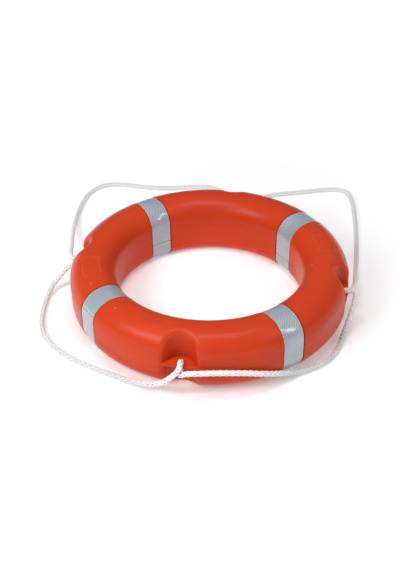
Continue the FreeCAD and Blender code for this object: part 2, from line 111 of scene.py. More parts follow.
# Where each tape's two ends lap, in degrees round the section, from outwards over the top.
TAPE_LAPS = {
    "reflective_tape_back_right": 208,
    "reflective_tape_back_left": 203,
    "reflective_tape_front_left": 40,
    "reflective_tape_front_right": 118,
}
TAPE_WIDTH = 0.050
TAPE_BODY = 0.0007
TAPE_COLUMNS = 20
TAPE_ROWS = 240
# The middles of the ring's sections lie on this circle. Rays find the tape's face from this far out.
SECTION_CIRCLE = 0.267
RAY_REACH = 0.2
# The outermost rays are cast this far inside the tape's edges, so that they don't miss it.
RAY_INSET = 0.00003
LAP_LENGTH = 0.022
LAP_RISE = 0.00032
# A tape's last end stops this far short of its first, in degrees round the section.
SEAM_TURN = 0.15
# Length of a tape's last end that lies in the shade of the lap.
SHADE_LENGTH = 0.0030
# Two crossing waves ripple the film: radians for each metre along it and across it.
RIPPLE_WAVES = ((210, 60), (37, 170))
RIPPLE_RISE = 0.00008
RIPPLE_FADE = 0.01
# Faces of the film that turn by more than this, in degrees, meet in a sharp edge.
FILM_CREASE = 50
CELL_PITCH = 0.0044
CELL_WALL_SHARE = 0.17
CELL_WALL_RISE = 0.00007
TAPE_BORDER = 0.0014
# Distances from a tape's edge between which its cut rim ends.
TAPE_RIM = (0.0002, 0.0005)
FILM_GRAIN_RISE = 0.00002
FILM_WAVE_RISE = 0.0002
# Darkest and palest colour of the cells and of the seals between them.
CELL_COLOURS = ((0.188, 0.238, 0.282), (0.232, 0.286, 0.330))
SEAL_COLOURS = ((0.640, 0.700, 0.750), (0.680, 0.740, 0.785))
BORDER_COLOUR = (0.680, 0.540, 0.495)
RIM_COLOUR = (0.42, 0.40, 0.40)
LAP_HIGHLIGHT_COLOUR = (0.80, 0.82, 0.84)
SHADE_COLOUR = (0.12, 0.15, 0.18)

# Grab line
LINE_DIAMETER = 0.012
SPLINE_STEPS = 40
# Points of a path that are nearer than this count as one.
SAME_PLACE = 0.000001
STATION_PITCH = 0.0015
LAY_LENGTH = 0.052
STRANDS_EACH_WAY = 4
STRAND_CIRCLE = 0.00445
STRAND_WAVE = 0.00115
CORE_RADIUS = 0.0030
CORE_SIDES = 6
# Section of one strand, three yarns side by side, in metres across it and outwards.
STRAND_SECTION = (
    (-0.00245, -0.00005), (-0.00175, 0.00078), (-0.00090, 0.00062), (0.0, 0.00100), (0.00090, 0.00062),
    (0.00175, 0.00078), (0.00245, -0.00005), (0.00150, -0.00078), (0.0, -0.00090), (-0.00150, -0.00078),
)
# Radius that a strand's section bends to, over the strands below it.
STRAND_BED = 0.0080
# Fineness of the rope's fibres, as steps of noise in a metre across and along a strand.
FIBRES_ACROSS = 3200.0
FIBRES_ALONG = 160.0
FIBRE_RISE = 0.00016
# Heights between which the rope's painted shade near the floor fades away, going up.
LOW_SHADE_SPAN = (0.014, 0.040)
ROPE_WHITE = (0.965, 0.965, 0.960)
# Painted shade between the strands.
ROPE_SHADE = (0.74, 0.745, 0.75)
FIBRE_COLOUR = (0.78, 0.78, 0.77)
CLOUD_COLOUR = (0.80, 0.79, 0.77)
LOW_SHADE_COLOUR = (0.700, 0.705, 0.710)
# Free control points of each bight, in metres, from one lug to the next.
LINE_POINTS = {
    "grab_line_front_left": (
        (0.003, -0.334, 0.0795), (-0.003, -0.3405, 0.0715), (-0.015, -0.3425, 0.0585),
        (-0.036, -0.337, 0.035), (-0.066, -0.327, 0.018), (-0.106, -0.315, 0.0085), (-0.156, -0.300, 0.0067),
        (-0.211, -0.283, 0.0067), (-0.264, -0.261, 0.0067), (-0.308, -0.236, 0.0067),
        (-0.341, -0.202, 0.0067), (-0.361, -0.163, 0.0067), (-0.372, -0.120, 0.0067),
        (-0.380, -0.074, 0.0070), (-0.380, -0.036, 0.014), (-0.370, -0.015, 0.027), (-0.358, -0.004, 0.041),
        (-0.347, 0.003, 0.053), (-0.336, 0.004, 0.0605),
    ),
    "grab_line_back_left": (
        (-0.335, 0.006, 0.079), (-0.344, 0.021, 0.0755), (-0.354, 0.050, 0.0655), (-0.371, 0.105, 0.049),
        (-0.394, 0.178, 0.028), (-0.414, 0.262, 0.010), (-0.427, 0.345, 0.0067), (-0.424, 0.420, 0.0067),
        (-0.395, 0.469, 0.0067), (-0.344, 0.480, 0.0067), (-0.292, 0.477, 0.0067), (-0.240, 0.478, 0.0067),
        (-0.190, 0.489, 0.0067), (-0.144, 0.505, 0.0067), (-0.102, 0.510, 0.0067), (-0.065, 0.498, 0.0067),
        (-0.038, 0.467, 0.009), (-0.022, 0.426, 0.019), (-0.013, 0.390, 0.036), (-0.007, 0.359, 0.053),
        (-0.003, 0.338, 0.0605),
    ),
    "grab_line_back_right": (
        (0.003, 0.337, 0.079), (0.008, 0.356, 0.072), (0.017, 0.388, 0.050), (0.032, 0.430, 0.023),
        (0.051, 0.474, 0.008), (0.073, 0.499, 0.0067), (0.113, 0.515, 0.0067), (0.161, 0.533, 0.0067),
        (0.209, 0.552, 0.0067), (0.253, 0.565, 0.0067), (0.284, 0.547, 0.0067), (0.299, 0.490, 0.0067),
        (0.310, 0.415, 0.0067), (0.320, 0.329, 0.0067), (0.326, 0.245, 0.0105), (0.329, 0.173, 0.021),
        (0.332, 0.118, 0.035), (0.333, 0.079, 0.047), (0.332, 0.051, 0.056), (0.327, 0.029, 0.0605),
    ),
    "grab_line_front_right": (
        (0.330, 0.001, 0.0785), (0.3375, -0.0005, 0.0765), (0.3375, -0.0105, 0.068), (0.335, -0.023, 0.055),
        (0.331, -0.038, 0.041), (0.325, -0.061, 0.026), (0.320, -0.084, 0.0145), (0.315, -0.111, 0.008),
        (0.307, -0.140, 0.0067), (0.290, -0.171, 0.0067), (0.266, -0.196, 0.0067), (0.237, -0.218, 0.011),
        (0.205, -0.250, 0.028), (0.172, -0.282, 0.049), (0.137, -0.300, 0.061), (0.102, -0.314, 0.067),
        (0.072, -0.322, 0.069), (0.050, -0.3275, 0.069), (0.030, -0.332, 0.0690), (0.012, -0.3355, 0.0675),
        (0.0025, -0.3335, 0.061),
    ),
}
# The lug that each bight leaves, in degrees from +X, and the length of its turn and bight together.
LINE_LUGS = {
    "grab_line_front_left": (-90, 0.720),
    "grab_line_back_left": (180, 1.080),
    "grab_line_back_right": (90, 1.024),
    "grab_line_front_right": (0, 0.611),
}
TURN_NODES = {
    "grab_line_front_left": "grab_line_turn_front",
    "grab_line_back_left": "grab_line_turn_left",
    "grab_line_back_right": "grab_line_turn_back",
    "grab_line_front_right": "grab_line_turn_right",
}
# Reach and heights of the line's corners below and above each lug, and the length of each leg of its turn.
LUG_REACH = 0.3068
LINE_HEIGHTS_AT_LUG = (0.061, 0.079)
TURN_REACH = 0.020

# Whipped join of the line
JOIN_PLACE = (0.320, -0.084, 0.0145)
JOIN_BANDS = 3
JOIN_PITCH = 0.010
# Length of line that the join is laid on, to each side of its middle.
JOIN_REACH = 0.03
TWINE_RADIUS = 0.00038
TWINE_CIRCLE = 0.00628
TWINE_TURNS = 3.75
TWINE_STEPS = 28
TWINE_SIDES = 6
# Twist of the twine's two plies, in radians for each metre along it.
PLY_RATE = 4200.0
PLY_RISE = 0.00009
# Fineness of the twine's hairs, as steps of noise in a metre along it.
HAIRS_ALONG = 900.0
HAIR_RISE = 0.00003
# Each band's stitch crosses it on the side that faces this way.
STITCH_SIDE = (-1.0, 0.05, 0.5)
STITCH_LENGTH = 0.0042
STITCH_STEPS = 9
STITCH_LIFT_SHARE = 0.9
# Colour of each twine on its plies, and the painted shade between them.
PALE_TWINE = ((0.92, 0.92, 0.90), (0.76, 0.76, 0.74))
DARK_TWINE = ((0.30, 0.29, 0.29), (0.14, 0.14, 0.14))

# Camera at the photograph's angle
CAMERA_PLACE = (0.35709, -1.77111, 1.38272)
CAMERA_FORWARD = (-0.16881, 0.78696, -0.59346)
CAMERA_UP = (-0.11138, 0.58302, 0.80479)
CAMERA_LENS = 86.576
CAMERA_SENSOR = 36.0

# Studio
FLOOR_HALF = 30.0
FLOOR_DROP = 0.0002
FLOOR_COLOUR = (0.93, 0.93, 0.93)
FLOOR_SPECK_COLOUR = (0.88, 0.88, 0.88)
FLOOR_GRAIN_RISE = 0.00002
# The floor's own glow under the ring and far from it, and the distances between which it changes.
FLOOR_GLOW_NEAR = (0.21, 0.21, 0.21)
FLOOR_GLOW_FAR = (0.80, 0.80, 0.80)
FLOOR_GLOW_SPAN = (0.45, 1.60)
# The room's light, and how far up, from -1 to 1, it passes from ground to wall and from wall to ceiling.
WORLD_GROUND = (0.50, 0.50, 0.51)
WORLD_WALL = (0.20, 0.20, 0.21)
WORLD_CEILING = (0.70, 0.70, 0.72)
WORLD_STRENGTH = 0.50
GROUND_TO_WALL = (-0.08, 0.02)
WALL_TO_CEILING = (0.05, 0.95)
# Each softbox: name, place, what it faces, its two sides and its power.
SOFTBOXES = (
    ("left_softbox", (-1.20, -1.45, 1.75), (0.0, -0.10, 0.0), (1.1, 1.0), 34.0),
    ("overhead_softbox", (0.05, -0.25, 2.30), (0.0, -0.10, 0.0), (1.3, 0.6), 17.5),
    ("right_strip", (1.83, -0.50, 1.52), (0.20, -0.23, 0.12), (0.16, 1.40), 7.5),
)


class Reading:
    """A number that varies over a surface. Sums with it add Math nodes to its tree."""

    def __init__(self, nodes, socket):
        self.nodes = nodes
        self.socket = socket

    def maths(self, operation, *values):
        return self.nodes.add("ShaderNodeMath", dict(enumerate(values)), operation=operation)

    def __add__(self, other):
        return self.maths("ADD", self, other)

    def __radd__(self, other):
        return self.maths("ADD", other, self)

    def __sub__(self, other):
        return self.maths("SUBTRACT", self, other)

    def __rsub__(self, other):
        return self.maths("SUBTRACT", other, self)

    def __mul__(self, other):
        return self.maths("MULTIPLY", self, other)

    def __rmul__(self, other):
        return self.maths("MULTIPLY", other, self)

    def __truediv__(self, other):
        return self.maths("DIVIDE", self, other)

    def __rtruediv__(self, other):
        return self.maths("DIVIDE", other, self)

    def __mod__(self, other):
        return self.maths("FLOORED_MODULO", self, other)

    def __rmod__(self, other):
        return self.maths("FLOORED_MODULO", other, self)

    def __abs__(self):
        return self.maths("ABSOLUTE", self)

    def __gt__(self, other):
        return self.maths("GREATER_THAN", self, other)

    def __lt__(self, other):
        return self.maths("LESS_THAN", self, other)

    def root(self):
        return self.maths("SQRT", self)

    def sine(self):
        return self.maths("SINE", self)

    def larger(self, other):
        return self.maths("MAXIMUM", self, other)

    def smaller(self, other):
        return self.maths("MINIMUM", self, other)

    def step(self, low, high):
        """0 below the first value and 1 above the second, smooth between them."""
        sockets = {0: self, 1: low, 2: high, 3: 0.0, 4: 1.0}
        return self.nodes.add("ShaderNodeMapRange", sockets, interpolation_type="SMOOTHSTEP")


class Nodes:
    """A node tree whose nodes are all made by one method."""

    def __init__(self, tree):
        self.tree = tree
        self.tree.nodes.clear()

    def add(self, kind, sockets=(), output=0, **settings):
        """One node: its settings are set first, then its sockets, by name or number."""
        made = self.tree.nodes.new(kind)
        for name, value in settings.items():
            setattr(made, name, value)
        for key, value in dict(sockets).items():
            if isinstance(value, Reading):
                self.tree.links.new(value.socket, made.inputs[key])
            elif made.inputs[key].type == "RGBA":
                made.inputs[key].default_value = (*value, 1.0)
            else:
                made.inputs[key].default_value = value
        return Reading(self, made.outputs[output]) if len(made.outputs) else None

    def parts(self, vector):
        """The three numbers of a vector."""
        whole = self.add("ShaderNodeSeparateXYZ", {0: vector})
        return [Reading(self, socket) for socket in whole.socket.node.outputs]

    def vector(self, x, y, z):
        return self.add("ShaderNodeCombineXYZ", {0: x, 1: y, 2: z})

    def noise(self, vector, scale, detail=2.0, roughness=0.5):
        sockets = {"Vector": vector, "Scale": scale, "Detail": detail, "Roughness": roughness}
        return self.add("ShaderNodeTexNoise", sockets)

    def mix(self, share, first, second):
        """A colour between two others."""
        return self.add("ShaderNodeMix", {0: share, 6: first, 7: second}, output=2, data_type="RGBA")


class Finish(Nodes):
    """A procedural material with one principled shader."""

    def __init__(self, name):
        self.material = bpy.data.materials.new(name)
        self.material.use_nodes = True
        super().__init__(self.material.node_tree)

    def place(self):
        """The part's own coordinates, as three numbers."""
        return self.parts(self.add("ShaderNodeTexCoord", output="Object"))

    def lay(self, name):
        """The three numbers stored at each point of a mesh under a name."""
        return self.parts(self.add("ShaderNodeAttribute", output="Vector", attribute_name=name))

    def finish(self, height, **sockets):
        """Join the shader to the output, with a height in metres as its bump."""
        bump = self.add("ShaderNodeBump", {"Strength": 1.0, "Distance": 1.0, "Height": height})
        named = {key.replace("_", " "): value for key, value in sockets.items()}
        shader = self.add("ShaderNodeBsdfPrincipled", {**named, "Normal": bump})
        self.add("ShaderNodeOutputMaterial", {0: shader})
        return self.material


def on_circle(circle, degrees):
    """A place on a circle about the ring's axis."""
    angle = math.radians(degrees)
    return circle * math.cos(angle), circle * math.sin(angle)


def off_spot(x, y, spot):
    """How far each point stands off from a spot, seen from above."""
    off_x = x - spot[0]
    off_y = y - spot[1]
    return (off_x * off_x + off_y * off_y).root()


def mould_marks(x, y):
    """Where the small round moulding marks are."""
    marks = 0.0
    for circle, degrees, radius in MOULD_MARKS:
        off = off_spot(x, y, on_circle(circle, degrees))
        marks = (1 - off.step(radius - MARK_EDGE, radius)) + marks
    return marks


def weld_rings(x, y):
    """Where the low ring is that welding leaves round each plug."""
    rings = 0.0
    for degrees in PLUG_ANGLES.values():
        off = off_spot(x, y, on_circle(PLUG_CIRCLE, degrees)) - PLUG_RADIUS - WELD_WIDTH
        rings = (1 - (abs(off) / WELD_WIDTH).step(0.2, 1.0)) + rings
    return rings


def panel_edge_highlights(turn, reach):
    """Where a thin highlight is painted along the edges of the two blank label panels."""
    edge_highlights = 0.0
    for degrees in PANEL_ANGLES:
        along = abs(turn - math.radians(degrees)) * PANEL_CIRCLE - PANEL_HALF_LENGTH
        across = abs(reach - PANEL_CIRCLE) - PANEL_HALF_BREADTH
        edge_highlights = (1 - (abs(along.larger(across)) / PANEL_HIGHLIGHT_WIDTH).step(0.4, 1.0)) + edge_highlights
    return edge_highlights


def recess_shade_and_dirt(x, y):
    """Where shade is painted, with some dirt, in the tape recesses, along both edges of each tape."""
    shade_and_dirt = 0.0
    for degrees in TAPE_ANGLES.values():
        out_x, out_y = on_circle(1.0, degrees)
        beside = abs(y * out_x - x * out_y) - TAPE_WIDTH / 2
        line = beside.step(-RECESS_SHADE_FADE, 0.0) - beside.step(RECESS_SHADE_WIDTH, RECESS_SHADE_WIDTH + RECESS_SHADE_FADE)
        shade_and_dirt = line * (x * out_x + y * out_y > 0.0) + shade_and_dirt
    return shade_and_dirt


def shell_finish():
    """Satin orange polyethylene, as moulded, with its parting line, moulding marks and light scuffs."""
    finish = Finish("orange_polyethylene")
    x, y, z = finish.place()
    place = finish.vector(x, y, z)
    reach = (x * x + y * y).root()
    turn = finish.add("ShaderNodeMath", {0: y, 1: x}, operation="ARCTAN2")
    upper = z > PARTING_HEIGHT
    parting = 1 - (abs(z - PARTING_HEIGHT) / PARTING_WIDTH).step(0.0, 1.0)
    marks = mould_marks(x, y) * upper
    panel_highlights = panel_edge_highlights(turn, reach) * upper
    welds = weld_rings(x, y) * upper

    # Scuffs run round the ring, where it has been handled and stacked.
    drawn = finish.vector(turn * SCUFFS_ROUND, reach * SCUFFS_ACROSS, z * SCUFFS_ACROSS)
    lines = finish.noise(drawn, scale=1.0, detail=2.0, roughness=0.55)
    patches = finish.noise(place, scale=11.0, detail=2.0, roughness=0.5)
    scuffs = lines.step(0.66, 0.74) * patches.step(0.52, 0.70)

    peel = finish.noise(place, scale=620.0, detail=3.0, roughness=0.6)
    waves = finish.noise(place, scale=15.0, detail=1.5, roughness=0.4)
    height = parting * PARTING_RISE + marks * MARK_RISE + welds * WELD_RISE
    height = height + (peel - 0.5) * PEEL_RISE + (waves - 0.5) * WAVE_RISE - scuffs * SCUFF_DEPTH

    tone = finish.noise(place, scale=5.0, detail=3.0, roughness=0.55)
    dust = finish.noise(place, scale=240.0, detail=2.0, roughness=0.7).step(0.62, 0.75)
    colour = finish.mix(tone.step(0.3, 0.7), SHELL_ORANGE, SHELL_DEEP_ORANGE)
    colour = finish.mix(dust * 0.10, colour, DUST_COLOUR)
    colour = finish.mix(scuffs * 0.35, colour, SCUFF_COLOUR)
    colour = finish.mix(parting * 0.30, colour, PARTING_COLOUR)
    colour = finish.mix(marks * 0.60, colour, MARK_COLOUR)
    # Painted highlight along the edges of the label panels.
    colour = finish.mix(panel_highlights * 0.38, colour, PANEL_HIGHLIGHT_COLOUR)
    # Painted shade, with some dirt, in the recesses beside the tapes.
    colour = finish.mix(recess_shade_and_dirt(x, y) * 0.55, colour, RECESS_SHADE_AND_DIRT_COLOUR)
    roughness = 0.31 + (peel - 0.5) * 0.10 + scuffs * 0.20 + (tone - 0.5) * 0.06
    return finish.finish(height, Base_Color=colour, Roughness=roughness, Specular_IOR_Level=0.15)


def plug_finish(name, degrees):
    """A spin welded plug: the shell's plastic with turned rings and a small sprue in the middle."""
    finish = Finish(name + "_polyethylene")
    x, y, z = finish.place()
    off = off_spot(x, y, on_circle(PLUG_CIRCLE, degrees))
    rings = ((off * TURNED_RATE).sine() + 1) * 0.5
    groove = 1 - (abs(off - GROOVE_RADIUS) / GROOVE_WIDTH).step(0.0, 1.0)
    sprue = 1 - off.step(*SPRUE_RADII)
    grain = finish.noise(finish.vector(x, y, z), scale=700.0, detail=2.0, roughness=0.6)
    height = rings * TURNED_RISE - groove * GROOVE_DEPTH + sprue * SPRUE_RISE + (grain - 0.5) * PEEL_RISE
    colour = finish.mix(grain.step(0.3, 0.7), PLUG_ORANGE, PLUG_DEEP_ORANGE)
    # Painted shade in the groove.
    colour = finish.mix(groove * 0.45, colour, GROOVE_SHADE_COLOUR)
    return finish.finish(height, Base_Color=colour, Roughness=0.40 + rings * 0.08, Specular_IOR_Level=0.30)


def foam_finish():
    """Closed cell foam, cream, its skin pitted with small round cells."""
    finish = Finish("closed_cell_foam")
    x, y, z = finish.place()
    place = finish.vector(x, y, z)
    cells = finish.add("ShaderNodeTexVoronoi", {"Vector": place, "Scale": FOAM_CELLS_IN_METRE})
    clouds = finish.noise(place, scale=40.0, detail=3.0, roughness=0.6)
    # Painted shade in the pits of the cells.
    colour = finish.mix(cells.step(0.1, 0.6), FOAM_PIT_SHADE_COLOUR, FOAM_CREAM)
    colour = finish.mix(clouds.step(0.4, 0.7) * 0.3, colour, FOAM_CLOUD_COLOUR)
    height = cells.step(0.0, 0.5) * FOAM_PIT_DEPTH
    return finish.finish(height, Base_Color=colour, Roughness=0.85 - cells * 0.1)


def cell_walls(across, along):
    """Where the walls of a honeycomb run over the film."""
    column = across / CELL_PITCH
    row = along / CELL_PITCH
    tall = math.sqrt(3)
    offs = []
    for shift in (0.0, 0.5):
        off_x = abs((column + shift) % 1.0 - 0.5)
        off_y = abs((row + shift * tall) % tall - tall / 2)
        offs.append(off_x.larger(off_x * 0.5 + off_y * (tall / 2)))
    nearest = offs[0].smaller(offs[1])
    return nearest.step(0.5 - CELL_WALL_SHARE, 0.5 - CELL_WALL_SHARE / 3)


def tape_finish():
    """Silver retroreflective film: a honeycomb of sealed cells between two plain paler borders."""
    finish = Finish("retroreflective_film")
    across, along, lap = finish.lay("film")
    wall = cell_walls(across, along)
    edge = TAPE_WIDTH / 2 - abs(across)
    border = 1 - edge.step(TAPE_BORDER * 0.8, TAPE_BORDER)
    rim = 1 - edge.step(*TAPE_RIM)
    place = finish.vector(across, along, lap)
    tone = finish.noise(place, scale=26.0, detail=3.0, roughness=0.55)
    grain = finish.noise(place, scale=900.0, detail=2.0, roughness=0.5)
    fade = finish.noise(place, scale=9.0, detail=1.0, roughness=0.4).step(0.35, 0.65)

    cell = finish.mix(tone.step(0.3, 0.7), *CELL_COLOURS)
    seal = finish.mix(tone.step(0.3, 0.7), *SEAL_COLOURS)
    colour = finish.mix(wall * (0.75 + fade * 0.25), cell, seal)
    colour = finish.mix(border * 0.85, colour, BORDER_COLOUR)
    colour = finish.mix(rim * 0.6, colour, RIM_COLOUR)
    # The lap reads 1 at the tape's first end, and goes down to -1 in its shade at the last.
    # Painted highlight along the raised first end, where it laps over the last.
    colour = finish.mix(lap.step(0.93, 0.98) * 0.20, colour, LAP_HIGHLIGHT_COLOUR)
    colour = finish.mix((0.0 - lap).step(0.1, 0.5) * 0.80, colour, SHADE_COLOUR)
    height = wall * (1 - border) * CELL_WALL_RISE
    height = height + (grain - 0.5) * FILM_GRAIN_RISE + (tone - 0.5) * FILM_WAVE_RISE
    roughness = 0.34 + wall * 0.10 + border * 0.08 + (grain - 0.5) * 0.08
    metal = 0.18 * (1 - border)
    return finish.finish(height, Base_Color=colour, Roughness=roughness, Metallic=metal,
                         Coat_Weight=0.65, Coat_Roughness=0.06)


def rope_finish():
    """Soft white braided fibre, with painted shade between its strands and where it lies on the floor."""
    finish = Finish("braided_white_fibre")
    across, along, depth = finish.lay("lay")
    drawn = finish.vector(across * FIBRES_ACROSS, along * FIBRES_ALONG, 0.0)
    fibres = finish.noise(drawn, scale=1.0, detail=3.0, roughness=0.6)
    x, y, z = finish.place()
    clouds = finish.noise(finish.vector(x, y, z), scale=38.0, detail=3.0, roughness=0.6)
    # Painted shade, darker near the floor and mottled.
    low_shade = (1 - z.step(*LOW_SHADE_SPAN)) * (0.40 + clouds * 0.20)
    # Painted shade between the strands.
    colour = finish.mix(depth.step(0.15, 0.80), ROPE_SHADE, ROPE_WHITE)
    colour = finish.mix(fibres.step(0.45, 0.75) * 0.12, colour, FIBRE_COLOUR)
    colour = finish.mix(clouds.step(0.50, 0.80) * 0.12, colour, CLOUD_COLOUR)
    colour = finish.mix(low_shade, colour, LOW_SHADE_COLOUR)
    roughness = 0.72 + (fibres - 0.5) * 0.2
    return finish.finish((fibres - 0.5) * FIBRE_RISE, Base_Color=colour, Roughness=roughness,
                         Sheen_Weight=0.35, Sheen_Roughness=0.45)


def twine_finish(name, light, dark):
    """Waxed twine, its two plies twisted together, with painted shade between them."""
    finish = Finish(name)
    across, along, depth = finish.lay("lay")
    plies = ((along * PLY_RATE + across).sine() + 1) * 0.5
    drawn = finish.vector(across, along * HAIRS_ALONG, depth)
    hairs = finish.noise(drawn, scale=1.0, detail=2.0, roughness=0.6)
    # Painted shade between the plies.
    colour = finish.mix(plies * 0.7, dark, light)
    height = plies * PLY_RISE + (hairs - 0.5) * HAIR_RISE
    return finish.finish(height, Base_Color=colour, Roughness=0.55 + (hairs - 0.5) * 0.2, Sheen_Weight=0.15)


def new_piece(name, points, faces, slot, finishes, **stored):
    """A smooth mesh piece that rides on the part, with the vectors stored at its points."""
    mesh = bpy.data.meshes.new(name)
    mesh.from_pydata(points.tolist(), [], faces)
    mesh.validate()
    for key, vectors in stored.items():
        attribute = mesh.attributes.new(key, "FLOAT_VECTOR", "POINT")
        attribute.data.foreach_set("vector", np.asarray(vectors, np.float32).ravel())
    mesh.shade_smooth()
    for finish in finishes:
        mesh.materials.append(finish)
    piece = bpy.data.objects.new(name, mesh)
    bpy.context.scene.collection.objects.link(piece)
    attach(piece, "root")
    return piece


def tube_faces(stations, sides, first):
    """Four sided faces of a tube whose rings of points follow each other, and its two end faces."""
    faces = []
    for ring in range(stations - 1):
        low = first + ring * sides
        for side in range(sides):
            after = (side + 1) % sides
            faces.append((low + side, low + after, low + sides + after, low + sides + side))
    last = first + (stations - 1) * sides
    faces.append(tuple(first + side for side in reversed(range(sides))))
    faces.append(tuple(last + side for side in range(sides)))
    return faces


def lengthened(vectors):
    """Each vector at unit length."""
    return vectors / np.linalg.norm(vectors, axis=1, keepdims=True)


def lug_corners(degrees):
    """The corners of the line below and above a lug's hole."""
    x, y = on_circle(LUG_REACH, degrees)
    return [np.array((x, y, z)) for z in LINE_HEIGHTS_AT_LUG]


def leg_end(corner, toward):
    """Where the turn round a lug meets its bight."""
    along = np.asarray(toward) - corner
    return corner + along / np.linalg.norm(along) * TURN_REACH


def control_points(name):
    """The control points of one piece of the line: its turn round a lug and its bight to the next."""
    names = list(LINE_POINTS)
    before = names[names.index(name) - 1]
    after = names[(names.index(name) + 1) % len(names)]
    below, above = lug_corners(LINE_LUGS[name][0])
    next_below, _ = lug_corners(LINE_LUGS[after][0])
    free = LINE_POINTS[name]
    start = leg_end(below, LINE_POINTS[before][-1])
    middle = leg_end(above, free[0])
    end = leg_end(next_below, free[-1])
    return [start, below, above, middle, *free, end]


def spline_points(name, spots):
    """The points of the smooth spline that has the given control points."""
    line = bpy.data.curves.new(name, "CURVE")
    line.dimensions = "3D"
    line.resolution_u = SPLINE_STEPS
    spline = line.splines.new("NURBS")
    spline.points.add(len(spots) - 1)
    for point, spot in zip(spline.points, spots):
        point.co = (*spot, 1.0)
    spline.order_u = 3
    spline.use_endpoint_u = True
    thing = bpy.data.objects.new(name, line)
    mesh = bpy.data.meshes.new_from_object(thing)
    points = np.array([tuple(vertex.co) for vertex in mesh.vertices])
    apart = np.linalg.norm(np.diff(points, axis=0), axis=1) > SAME_PLACE
    points = points[np.concatenate(([True], apart))]
    bpy.data.meshes.remove(mesh)
    bpy.data.objects.remove(thing)
    bpy.data.curves.remove(line)
    return points


class Line:
    """The grab line as one closed loop: even stations along it, each with a frame that turns smoothly."""

    def __init__(self):
        self.paths = {name: spline_points(name, control_points(name)) for name in LINE_POINTS}
        loops = []
        self.spans = {}
        first = 0
        for name, path in self.paths.items():
            gone = np.concatenate(([0.0], np.cumsum(np.linalg.norm(np.diff(path, axis=0), axis=1))))
            count = max(2, round(gone[-1] / STATION_PITCH))
            even = np.linspace(0.0, gone[-1], count + 1)
            loops.append(np.column_stack([np.interp(even, gone, path[:, axis]) for axis in range(3)])[:-1])
            self.spans[name] = (first, count)
            first += count
        self.points = np.concatenate(loops)
        ahead = np.roll(self.points, -1, axis=0)
        behind = np.roll(self.points, 1, axis=0)
        self.along = lengthened(ahead - behind)
        steps = np.linalg.norm(ahead - self.points, axis=1)
        self.reach = np.concatenate(([0.0], np.cumsum(steps)))
        self.length = self.reach[-1]
        self.side, self.up = self.frames()

    def frames(self):
        """Two directions square to the line at each station, carried along it and closed at its end."""
        side = np.cross(self.along[0], (0.0, 0.0, 1.0))
        sides = []
        for along in self.along:
            side = side - along * side.dot(along)
            side = side / np.linalg.norm(side)
            sides.append(side)
        sides = np.array(sides)
        ups = np.cross(self.along, sides)
        closing = sides[-1] - self.along[0] * sides[-1].dot(self.along[0])
        gap = math.atan2(closing.dot(ups[0]), closing.dot(sides[0]))
        turn = -gap * self.reach[:-1, None] / self.length
        return sides * np.cos(turn) + ups * np.sin(turn), ups * np.cos(turn) - sides * np.sin(turn)

    def stations(self, first, count):
        """Places, frames and distances of the stations from one to another, round the loop's end."""
        index = np.arange(first, first + count + 1)
        wrapped = index % len(self.points)
        reach = self.reach[wrapped] + (index // len(self.points)) * self.length
        return self.points[wrapped], self.side[wrapped], self.up[wrapped], reach

    def nearest(self, place):
        """The station nearest to a place."""
        return int(np.argmin(np.linalg.norm(self.points - np.array(place), axis=1)))


def strand(places, sides, ups, angles, radii, reach):
    """Points of one strand of the braid, and what its finish reads at each."""
    outward = sides * np.cos(angles)[:, None] + ups * np.sin(angles)[:, None]
    middle = places + outward * radii[:, None]
    along = lengthened(np.gradient(middle, axis=0))
    across = lengthened(np.cross(along, outward))
    outward = np.cross(across, along)
    points = []
    stored = []
    for wide, high in STRAND_SECTION:
        sunk = high - wide * wide / (2 * STRAND_BED)
        points.append(middle + across * wide + outward * sunk)
        depth = (radii + sunk - CORE_RADIUS) / (LINE_DIAMETER / 2 - CORE_RADIUS)
        stored.append(np.column_stack((np.full(len(reach), wide), reach, depth)))
    return np.stack(points, 1).reshape(-1, 3), np.stack(stored, 1).reshape(-1, 3)


def braid_piece(line, name, finish):
    """One piece of the grab line: eight strands plaited over and under each other round a core."""
    places, sides, ups, reach = line.stations(*line.spans[name])
    turns = round(line.length / LAY_LENGTH)
    turn = 2 * math.pi * turns * reach / line.length
    wave = STRAND_WAVE * np.cos(STRANDS_EACH_WAY * turn)
    points = []
    stored = []
    faces = []
    first = 0
    for way in (1, -1):
        for number in range(STRANDS_EACH_WAY):
            angles = way * turn + 2 * math.pi * number / STRANDS_EACH_WAY
            spots, lay = strand(places, sides, ups, angles, STRAND_CIRCLE + way * wave, reach)
            points.append(spots)
            stored.append(lay)
            faces += tube_faces(len(places), len(STRAND_SECTION), first)
            first += len(spots)
    core = []
    for number in range(CORE_SIDES):
        angle = 2 * math.pi * number / CORE_SIDES
        core.append(places + CORE_RADIUS * (sides * math.cos(angle) + ups * math.sin(angle)))
    core = np.stack(core, 1).reshape(-1, 3)
    points.append(core)
    stored.append(np.zeros_like(core))
    faces += tube_faces(len(places), CORE_SIDES, first)
    piece = new_piece(name + "_braid", np.concatenate(points), faces, "white_rope", [finish],
                      lay=np.concatenate(stored))
    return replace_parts(piece, name, TURN_NODES[name])


def twine(path, outward):
    """Points and faces of a thin twine along a path, and what its finish reads at each point."""
    along = lengthened(np.gradient(path, axis=0))
    outward = lengthened(outward - along * np.sum(outward * along, axis=1, keepdims=True))
    across = np.cross(along, outward)
    gone = np.concatenate(([0.0], np.cumsum(np.linalg.norm(np.diff(path, axis=0), axis=1))))
    points = []
    stored = []
    for number in range(TWINE_SIDES):
        angle = 2 * math.pi * number / TWINE_SIDES
        points.append(path + TWINE_RADIUS * (outward * math.cos(angle) + across * math.sin(angle)))
        stored.append(np.column_stack((np.full(len(path), angle), gone, np.zeros(len(path)))))
    return np.stack(points, 1).reshape(-1, 3), np.stack(stored, 1).reshape(-1, 3)


